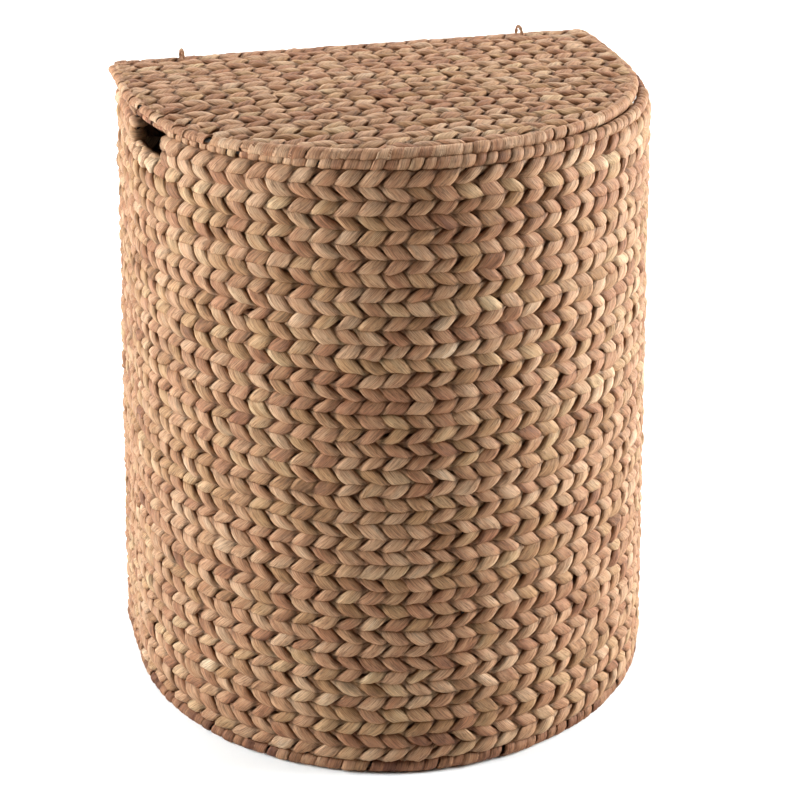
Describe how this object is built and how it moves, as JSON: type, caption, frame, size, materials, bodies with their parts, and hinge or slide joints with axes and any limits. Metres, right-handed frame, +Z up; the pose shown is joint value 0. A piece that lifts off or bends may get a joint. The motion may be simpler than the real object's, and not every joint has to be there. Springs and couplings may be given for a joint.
{
  "type": "laundry hamper with lid",
  "caption": "Half-round laundry hamper of twined water hyacinth on a rod frame, with a hinged woven lid and hand holes in its sides.",
  "frame": {"origin": "middle of the base, on the floor", "axes": "+Z up, +Y towards the flat back, +X to the right of someone facing the round front"},
  "size_m": [0.531, 0.3722, 0.621],
  "materials": {
    "hyacinth_weave": "dry twisted water hyacinth stems, matt",
    "smooth_binding": "flat strip wrapped round a rod, matt",
    "stake_cane": "dry cane",
    "ring_cord": "two-ply wrapped wire",
    "frame_steel": "dark coated steel rod"
  },
  "bodies": {
    "basket": {"top_hoop": "frame_steel", "middle_hoop": "frame_steel", "bottom_hoop": "frame_steel", "rear_corner_post_left": "frame_steel", "rear_corner_post_right": "frame_steel", "rear_center_post": "frame_steel", "front_post_1": "frame_steel", "front_post_2": "frame_steel", "front_post_3": "frame_steel", "front_post_4": "frame_steel", "front_post_5": "frame_steel", "handle_frame_left": "frame_steel", "handle_frame_right": "frame_steel", "handle_binding_left": "smooth_binding", "handle_binding_right": "smooth_binding", "grip_wrap_left": "smooth_binding", "grip_wrap_right": "smooth_binding", "warp_stakes": "stake_cane", "wall_back": "hyacinth_weave", "wall_side_left": "hyacinth_weave", "wall_side_right": "hyacinth_weave", "wall_front_1": "hyacinth_weave", "wall_front_2": "hyacinth_weave", "wall_front_3": "hyacinth_weave", "wall_front_4": "hyacinth_weave", "rim_wrap_front": "hyacinth_weave", "rim_wrap_back": "hyacinth_weave", "bottom_binding": "hyacinth_weave", "base_stakes": "stake_cane", "base_crossbars": "frame_steel", "base_panel": "hyacinth_weave"},
    "lid": {"lid_hoop": "frame_steel", "lid_crossbars": "frame_steel", "lid_stakes": "stake_cane", "lid_panel": "hyacinth_weave", "lid_edge_binding": "hyacinth_weave", "lid_back_binding": "hyacinth_weave", "hinge_ring_left": "ring_cord", "hinge_ring_right": "ring_cord"}
  },
  "joints": [
    {"name": "lid_hinge", "type": "hinge", "parent": "basket", "child": "lid", "pos_m": [-0.0085, 0.16564, 0.594], "axis": [-1, 0, 0], "range_deg": [0, 105]}
  ]
}
